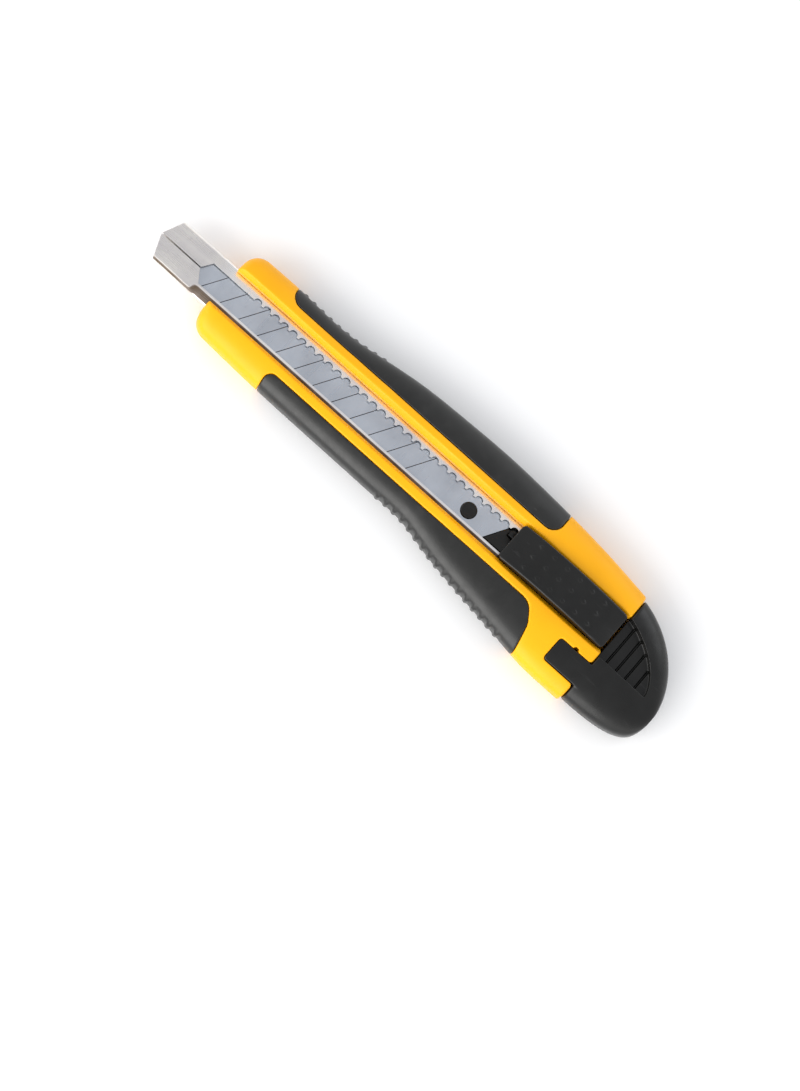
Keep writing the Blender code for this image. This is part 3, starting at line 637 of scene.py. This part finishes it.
def make_slider():
    """The arched thumb slider with its pips, hollow underneath for the carriage's neck."""
    rear = SLIDER_FRONT + SLIDER_LENGTH
    middle = (SLIDER_FRONT + rear) / 2
    slider = loft("slider_button", [slider_ring(x)
                                     for x in spread(SLIDER_FRONT, rear, FINE_STATION)])
    plan = rounded([(x, y, SLIDER_CORNER) for x, y in (
        (SLIDER_FRONT, -SLIDER_HALF), (rear, -SLIDER_HALF), (rear, SLIDER_HALF),
        (SLIDER_FRONT, SLIDER_HALF))])
    combine(slider, "INTERSECT", extrusion("plan", plan, "Z", SLIDER_FLOOR - 1, SLIDER_TOP + 1))
    pips = [make_pip(middle + (column - (PIP_COLUMNS - 1) / 2) * PIP_PITCH,
                     (row - (PIP_ROWS - 1) / 2) * PIP_ROW_PITCH)
            for column in range(PIP_COLUMNS) for row in range(PIP_ROWS)]
    outside = 6
    reliefs = [block("relief", (SLIDER_FRONT - 1, rear + 1),
                     sorted((side * SLIDER_WAIST, side * outside)),
                     (SLIDER_FLOOR - 1, FLANGE_FLOOR)) for side in (-1, 1)]
    hollow = block("hollow", (HOLLOW_FRONT, HOLLOW_REAR), (-HOLLOW_HALF, HOLLOW_HALF),
                   (SLIDER_FLOOR - 1, SLIDER_FLOOR + HOLLOW_DEPTH))
    combine(slider, "UNION", *pips)
    combine(slider, "DIFFERENCE", hollow, *reliefs)
    return mould(slider, FINE_GRID, 0.6, 3)


# --- Metal pieces --------------------------------------------------------------------------
def channel_ring(x, inset):
    """The folded channel's section: flat on top, but for the lip on the edge side, which
    slopes down to the side wall behind the nose flaps."""
    half = CHANNEL_HALF - NOSE_NARROWING * max(0.0, 1 - x / BODY_FRONT) - inset
    slope = LIP_DROP * smooth_step(LIP_START, LIP_FULL, x) / (CHANNEL_HALF - LIP_CREST)
    low = CHANNEL_FLOOR + inset
    high = CHANNEL_FLOOR + CHANNEL_HEIGHT - inset
    lean = inset * (math.sqrt(1 + slope**2) - 1)
    crest = LIP_CREST - (lean / slope if slope else 0.0)
    shoulder = high - lean - slope * (half - LIP_CREST)
    radius = BEND_RADIUS - inset
    section = rounded(((-half, low, radius), (half, low, radius), (half, high, radius),
                       (-crest, high, 0), (-half, shoulder, radius)), 5)
    return [(x, y, z) for y, z in section]


def window_outline():
    """The window between the lips, with the ratchet notches along its spine side."""
    outline = [(-1.0, -SLIT / 2), (FLAP_REAR, -SLIT / 2), (WINDOW_FRONT_LOWER, WINDOW_LOWER),
               (CHANNEL_REAR + 1, WINDOW_LOWER), (CHANNEL_REAR + 1, WINDOW_UPPER)]
    arc = 12
    for notch in reversed(range(NOTCH_COUNT)):
        centre = FIRST_NOTCH + notch * NOTCH_PITCH
        for step in range(arc + 1):
            angle = math.pi * step / arc
            outline.append((centre + NOTCH_HALF * math.cos(angle),
                            WINDOW_UPPER + NOTCH_DEPTH * math.sin(angle)))
    return outline + [(WINDOW_FRONT_UPPER, WINDOW_UPPER), (FLAP_REAR, SLIT / 2),
                      (-1.0, SLIT / 2)]


def make_channel():
    """The folded steel channel that the blade runs in."""
    bend = spread(LIP_START, LIP_FULL, FINE_STATION)
    channel = loft("steel_channel", [channel_ring(x, 0.0) for x in [0.0, *bend, CHANNEL_REAR]])
    inside = loft("inside", [channel_ring(x, SHEET) for x in [-1.0, *bend, CHANNEL_REAR + 1]])
    window = extrusion("window", window_outline(), "Z",
                       CHANNEL_FLOOR + WINDOW_DEPTH, CHANNEL_FLOOR + 4)
    corners = []
    ahead, outside = -1, 8
    for side in (-1, 1):
        outline = ((ahead, 0), (0, 0), (NOSE_CORNER, side * (CHANNEL_HALF - 0.1)),
                   (NOSE_CORNER, side * outside), (ahead, side * outside))
        corners.append(extrusion("corner", outline, "Z", CHANNEL_FLOOR - 2, CHANNEL_FLOOR + 5))
    combine(channel, "DIFFERENCE", inside, window, *corners)
    return shade_by_angle(channel)


def make_stud():
    """The headed stud that carries the blade: a turned piece with a dished, rounded head."""
    profile = [(STUD_R * share, STUD_CROWN - depth) for share, depth in STUD_DISH]
    steps = 8
    for step in range(steps + 1):
        angle = math.pi / 2 * step / steps
        profile.append((STUD_R - STUD_ROUND * (1 - math.sin(angle)),
                        STUD_CROWN - STUD_ROUND * (1 - math.cos(angle))))
    profile += [(STUD_R, STUD_SEAT), (STUD_FOOT_R, STUD_SEAT), (STUD_FOOT_R, STUD_FOOT),
                (0.0, STUD_FOOT)]
    sides = 64
    rings = [[(STUD_X + radius * math.cos(2 * math.pi * side / sides),
               STUD_Y + radius * math.sin(2 * math.pi * side / sides), height)
              for side in range(sides)] for radius, height in profile]
    return shade_by_angle(loft("stud_head", rings))


# --- Materials -------------------------------------------------------------------------------
def new_material(name, colour, roughness, metallic=0.0, specular=0.5):
    """A material with a Principled shader. Returns the material, its tree and the shader."""
    material = bpy.data.materials.new(name)
    material.use_nodes = True
    shader = material.node_tree.nodes["Principled BSDF"]
    shader.inputs["Base Color"].default_value = (*colour, 1.0)
    shader.inputs["Roughness"].default_value = roughness
    shader.inputs["Metallic"].default_value = metallic
    shader.inputs["Specular IOR Level"].default_value = specular
    return material, material.node_tree, shader


def noise(tree, scale, detail=3.0, stretch=(1, 1, 1), turn=0.0):
    """Noise over the object's own coordinates, with its grain stretched along the axes."""
    coordinates = tree.nodes.new("ShaderNodeTexCoord")
    mapping = tree.nodes.new("ShaderNodeMapping")
    mapping.inputs["Scale"].default_value = stretch
    mapping.inputs["Rotation"].default_value = (0, 0, turn)
    texture = tree.nodes.new("ShaderNodeTexNoise")
    texture.inputs["Scale"].default_value = scale
    texture.inputs["Detail"].default_value = detail
    tree.links.new(coordinates.outputs["Object"], mapping.inputs["Vector"])
    tree.links.new(mapping.outputs["Vector"], texture.inputs["Vector"])
    return texture.outputs["Fac"]


def ramp(tree, source, *stops):
    """A colour ramp over a value, from (position, colour) stops."""
    node = tree.nodes.new("ShaderNodeValToRGB")
    elements = node.color_ramp.elements
    while len(elements) < len(stops):
        elements.new(0.5)
    for element, (stop, colour) in zip(elements, stops):
        element.position = stop
        element.color = (*colour, 1.0)
    tree.links.new(source, node.inputs["Fac"])
    return node.outputs["Color"]


def remap(tree, source, low, high, new_low, new_high):
    """A value's range turned into another one."""
    node = tree.nodes.new("ShaderNodeMapRange")
    for name, value in (("From Min", low), ("From Max", high), ("To Min", new_low),
                        ("To Max", new_high)):
        node.inputs[name].default_value = value
    tree.links.new(source, node.inputs["Value"])
    return node.outputs["Result"]


def blend_colours(tree, factor, first, second, mode="MIX"):
    """Two colours, or a source and a colour, mixed by a factor."""
    node = tree.nodes.new("ShaderNodeMix")
    node.data_type = "RGBA"
    node.blend_type = mode
    tree.links.new(factor, node.inputs["Factor"])
    # This node's colour sockets share their names with others, so they go by number.
    for index, value in ((6, first), (7, second)):
        if isinstance(value, tuple):
            node.inputs[index].default_value = (*value, 1.0)
        else:
            tree.links.new(value, node.inputs[index])
    return node.outputs[2]


def add_bumps(tree, shader, *layers):
    """Bump layers, each a height source, a strength and a depth in millimetres."""
    normal = None
    for height, strength, depth in layers:
        node = tree.nodes.new("ShaderNodeBump")
        node.inputs["Strength"].default_value = strength
        node.inputs["Distance"].default_value = depth * MM
        tree.links.new(height, node.inputs["Height"])
        if normal:
            tree.links.new(normal, node.inputs["Normal"])
        normal = node.outputs["Normal"]
    tree.links.new(normal, shader.inputs["Normal"])


def position(tree, axis):
    """The distance along one of the object's own axes, in metres."""
    coordinates = tree.nodes.new("ShaderNodeTexCoord")
    split = tree.nodes.new("ShaderNodeSeparateXYZ")
    tree.links.new(coordinates.outputs["Object"], split.inputs[0])
    return split.outputs[axis]


def product(tree, first, second):
    """Two values multiplied."""
    node = tree.nodes.new("ShaderNodeMath")
    node.operation = "MULTIPLY"
    tree.links.new(first, node.inputs[0])
    tree.links.new(second, node.inputs[1])
    return node.outputs[0]


def band(tree, axis, low, high, fade):
    """1 between two places along an axis, in millimetres, and 0 a short fade outside them."""
    place_along = position(tree, axis)
    above = remap(tree, place_along, (low - fade) * MM, low * MM, 0.0, 1.0)
    below = remap(tree, place_along, high * MM, (high + fade) * MM, 1.0, 0.0)
    return product(tree, above, below)


def parting_line(tree):
    """A faint raised line round the moulding at its widest height."""
    half_width, fade = 0.04, 0.08
    return band(tree, "Z", WAIST - half_width, WAIST + half_width, fade)


def yellow_plastic():
    """Satin moulded ABS: an orange-yellow with fine grain and a few handling scuffs."""
    material, tree, shader = new_material("yellow_abs", (0.93, 0.42, 0.002), 0.4, 0.0, 0.25)
    clouds = ramp(tree, noise(tree, 70, 4), (0.3, (0.89, 0.395, 0.002)), (0.7, (0.95, 0.435, 0.003)))
    scuffs = noise(tree, 900, 5, (0.06, 1, 1), 0.4)
    scuffed = remap(tree, scuffs, 0.66, 0.78, 0.0, 0.22)
    colour = blend_colours(tree, scuffed, clouds, (1.0, 0.56, 0.06))
    tree.links.new(colour, shader.inputs["Base Color"])
    gloss = remap(tree, noise(tree, 320, 6), 0.3, 0.75, 0.32, 0.48)
    tree.links.new(gloss, shader.inputs["Roughness"])
    add_bumps(tree, shader, (noise(tree, 3200, 2), 0.25, 0.02), (scuffs, 0.12, 0.03),
              (parting_line(tree), 0.5, 0.04))
    return material


def soft_rubber():
    """Matt black elastomer with a fine leathery grain and a trace of dust."""
    material, tree, shader = new_material("soft_grip", (0.008, 0.008, 0.007), 0.36)
    shader.inputs["Sheen Weight"].default_value = 0.3
    shader.inputs["Sheen Roughness"].default_value = 0.22
    dust = remap(tree, noise(tree, 240, 7), 0.52, 0.8, 0.0, 0.35)
    clouds = ramp(tree, noise(tree, 90, 3), (0.3, (0.006, 0.006, 0.0054)),
                  (0.7, (0.01, 0.01, 0.009)))
    tree.links.new(blend_colours(tree, dust, clouds, (0.03, 0.0295, 0.028)),
                   shader.inputs["Base Color"])
    gloss = remap(tree, noise(tree, 500, 5), 0.3, 0.7, 0.3, 0.42)
    tree.links.new(gloss, shader.inputs["Roughness"])
    add_bumps(tree, shader, (noise(tree, 2600, 4), 0.3, 0.03), (noise(tree, 700, 2), 0.1, 0.06))
    return material


def black_plastic():
    """Moulded black plastic with a spark-eroded texture and worn, shinier scuffs."""
    material, tree, shader = new_material("black_plastic", (0.006, 0.006, 0.0055), 0.3, 0.0, 0.38)
    clouds = ramp(tree, noise(tree, 120, 4), (0.3, (0.004, 0.004, 0.0036)),
                  (0.7, (0.007, 0.007, 0.0065)))
    scuffs = noise(tree, 1100, 6, (0.08, 1, 1), -0.5)
    scuffed = remap(tree, scuffs, 0.64, 0.8, 0.0, 0.5)
    tree.links.new(blend_colours(tree, scuffed, clouds, (0.035, 0.035, 0.035)),
                   shader.inputs["Base Color"])
    gloss = remap(tree, noise(tree, 420, 6), 0.3, 0.7, 0.25, 0.38)
    tree.links.new(gloss, shader.inputs["Roughness"])
    add_bumps(tree, shader, (noise(tree, 3600, 3), 0.22, 0.02), (scuffs, 0.1, 0.03))
    return material


def metal(name, dark, light, rough, lines, line_scale, stretch):
    """Bright steel: two tones in clouds, drawn lines in its finish and small stains.

    Returns the material, its tree, its shader and its colour's source.
    """
    material, tree, shader = new_material(name, light, rough[0], 1.0)
    grain = noise(tree, line_scale, 4, stretch)
    clouds = ramp(tree, noise(tree, 160, 5), (0.35, dark), (0.62, light))
    stains = remap(tree, noise(tree, 520, 7), 0.62, 0.8, 0.0, 0.35)
    colour = blend_colours(tree, stains, clouds, tuple(value * 0.72 for value in dark))
    tree.links.new(colour, shader.inputs["Base Color"])
    tree.links.new(remap(tree, grain, 0.3, 0.7, *rough), shader.inputs["Roughness"])
    add_bumps(tree, shader, (grain, lines, 0.012), (noise(tree, 300, 3), 0.06, 0.08))
    return material, tree, shader, colour


def rolled_steel():
    """The channel's steel: painted a little darker at the nose as shade, with a painted reflection of
    the shaded rail along its lower fold.
    """
    material, tree, shader, colour = metal("rolled_steel", (0.86, 0.84, 0.85),
                                           (1.0, 0.98, 0.95), (0.22, 0.36), 0.25, 1500, (0.05, 1, 1))
    nose_x = BODY_FRONT - LENGTH / 2
    # Painted shade: ahead of the body the nose flaps' colour is darkened a little, so the lips behind
    # them read brighter.
    at_nose = remap(tree, position(tree, "X"), (nose_x - 4) * MM, nose_x * MM, 1.0, 0.0)
    nose_shaded = blend_colours(tree, at_nose, colour, (0.9, 0.88, 0.86), "MULTIPLY")
    top = CHANNEL_FLOOR + CHANNEL_HEIGHT
    fade = 0.08
    # Painted reflection and shade: a patchy dark brown, less metallic band along the edge-side lip's
    # fold stands for the shaded rail wall that the sloping lip mirrors.
    low_fold = band(tree, "Y", -CHANNEL_HALF - 1, -LIP_CREST - 0.1, fade)
    painted_rail_reflection = product(tree, band(tree, "Z", top - 0.8, top - 0.12, fade), low_fold)
    patchy_painted_reflection = product(tree, painted_rail_reflection, remap(tree, noise(tree, 260, 4), 0.2, 0.6, 0.85, 1.0))
    tree.links.new(blend_colours(tree, patchy_painted_reflection, nose_shaded, (0.075, 0.045, 0.02)),
                   shader.inputs["Base Color"])
    tree.links.new(remap(tree, patchy_painted_reflection, 0.0, 1.0, 1.0, 0.1), shader.inputs["Metallic"])
    return material


def ground_steel():
    """The blade's steel: cool, ground across its length, with painted shade in the score lines."""
    material, tree, shader, colour = metal("ground_steel", (0.55, 0.585, 0.64),
                                           (0.63, 0.67, 0.73), (0.26, 0.38), 0.25, 2200, (1, 0.05, 1))
    # Painted shade: the floors of the score lines are painted near black and less metallic.
    painted_score_shade = band(tree, "Z", BLADE_TOP - SCORE_DEPTH, BLADE_TOP - SCORE_DEPTH / 3, 0.02)
    tree.links.new(blend_colours(tree, painted_score_shade, colour, (0.07, 0.07, 0.085)),
                   shader.inputs["Base Color"])
    tree.links.new(remap(tree, painted_score_shade, 0.0, 1.0, 1.0, 0.2), shader.inputs["Metallic"])
    return material


# --- Stage -------------------------------------------------------------------------------------
def make_floor():
    """A plain pale floor, just under the knife's flat back."""
    bpy.ops.mesh.primitive_plane_add(size=6, location=(0, 0, -0.05 * MM))
    floor = bpy.context.object
    floor.name = "floor"
    floor.data.materials.append(new_material("pale_floor", (0.93, 0.93, 0.93), 0.9, 0.0, 0.1)[0])


def add_area_light(name, direction, distance, size, power, colour=(1, 1, 1)):
    """A soft square light that looks at the middle of the knife."""
    data = bpy.data.lights.new(name, "AREA")
    data.size = size
    data.energy = power
    data.color = colour
    light = bpy.data.objects.new(name, data)
    bpy.context.scene.collection.objects.link(light)
    back = Vector(direction).normalized()
    light.location = back * distance
    light.rotation_euler = back.to_track_quat("Z", "Y").to_euler()


def make_lights():
    """A pale surround that is darker overhead and towards the spine side, and two lights."""
    world = bpy.data.worlds.new("pale_surround")
    world.use_nodes = True
    tree = world.node_tree
    facing = tree.nodes.new("ShaderNodeVectorMath")
    facing.operation = "DOT_PRODUCT"
    facing.inputs[1].default_value = (0.0, 0.35, 0.937)
    tree.links.new(tree.nodes.new("ShaderNodeTexCoord").outputs["Generated"], facing.inputs[0])
    sky = ramp(tree, facing.outputs["Value"], (0.1, (1.0, 1.0, 1.0)), (0.9, (0.37, 0.375, 0.39)))
    background = tree.nodes["Background"]
    tree.links.new(sky, background.inputs["Color"])
    background.inputs["Strength"].default_value = 1.7
    bpy.context.scene.world = world
    add_area_light("key_light", (-0.3, -1.0, 0.45), 0.8, 0.8, 5.5, (1.0, 0.99, 0.97))
    add_area_light("rim_light", (0.4, 1.0, 0.6), 0.8, 0.35, 0.6, (0.94, 0.97, 1.0))


def make_camera():
    """A long lens, nearly overhead, tilted towards the edge side and rolled."""
    tilt, roll = math.radians(13.0), math.radians(41.8)
    distance, view_height = 0.7, 0.21925
    target = Vector((8.39, -14.59, 3.13)) * MM
    along = Vector((1, 0, 0))
    back = Vector((0, -math.sin(tilt), math.cos(tilt)))
    across = back.cross(along)
    right = along * math.cos(roll) + across * math.sin(roll)
    up = across * math.cos(roll) - along * math.sin(roll)
    data = bpy.data.cameras.new("camera")
    data.sensor_width = 36.0
    data.lens = data.sensor_width * distance / view_height
    data.clip_start = 0.01
    camera = bpy.data.objects.new("camera", data)
    bpy.context.scene.collection.objects.link(camera)
    matrix = Matrix((right, up, back)).transposed().to_4x4()
    matrix.translation = target + back * distance
    camera.matrix_world = matrix
    bpy.context.scene.camera = camera


# --- Assembly ------------------------------------------------------------------------------------
def make_knife():
    yellow, rubber, black = yellow_plastic(), soft_rubber(), black_plastic()
    rolled, ground = rolled_steel(), ground_steel()
    sprung = metal("spring_steel", (0.42, 0.40, 0.36), (0.6, 0.57, 0.5), (0.22, 0.34), 0.2,
                   1600, (0.06, 1, 1))[0]
    finish_piece(make_body(), yellow, "handle", "handle_plastic", "body")
    finish_piece(make_grip("ribbed_spine_grip", "spine", SPINE_RIBS), rubber, "handle",
                 "soft_grip", "spine_grip")
    finish_piece(make_grip("ribbed_edge_grip", "edge", EDGE_RIBS), rubber, "handle",
                 "soft_grip", "edge_grip")
    finish_piece(make_channel(), rolled, "handle", "channel_steel", "blade_channel")
    finish_piece(make_end_cap(), black, "cap", "black_plastic", "end_cap")
    finish_piece(shade_by_angle(copy_of("blade", "snap_off_blade"), BLADE_FOLD), ground,
                 "carriage", "blade_steel", "blade")
    finish_piece(bevelled(copy_of("blade_carriage", "carriage_moulding"), CARRIAGE_BEVEL), black,
                 "carriage", "black_plastic", "blade_carriage")
    finish_piece(make_stud(), black, "carriage", "black_plastic", "blade_stud")
    finish_piece(make_slider(), black, "slider", "black_plastic", "thumb_slider")
    finish_piece(bevelled(copy_of("lock_pawl", "pawl_moulding"), PAWL_BEVEL), black, "pawl",
                 "black_plastic", "lock_pawl")
    finish_piece(shade_by_angle(copy_of("pawl_spring", "leaf_spring")), sprung, "carriage",
                 "spring_steel", "pawl_spring")


make_camera()
make_floor()
make_lights()
bpy.context.scene.view_settings.view_transform = "Standard"
make_knife()
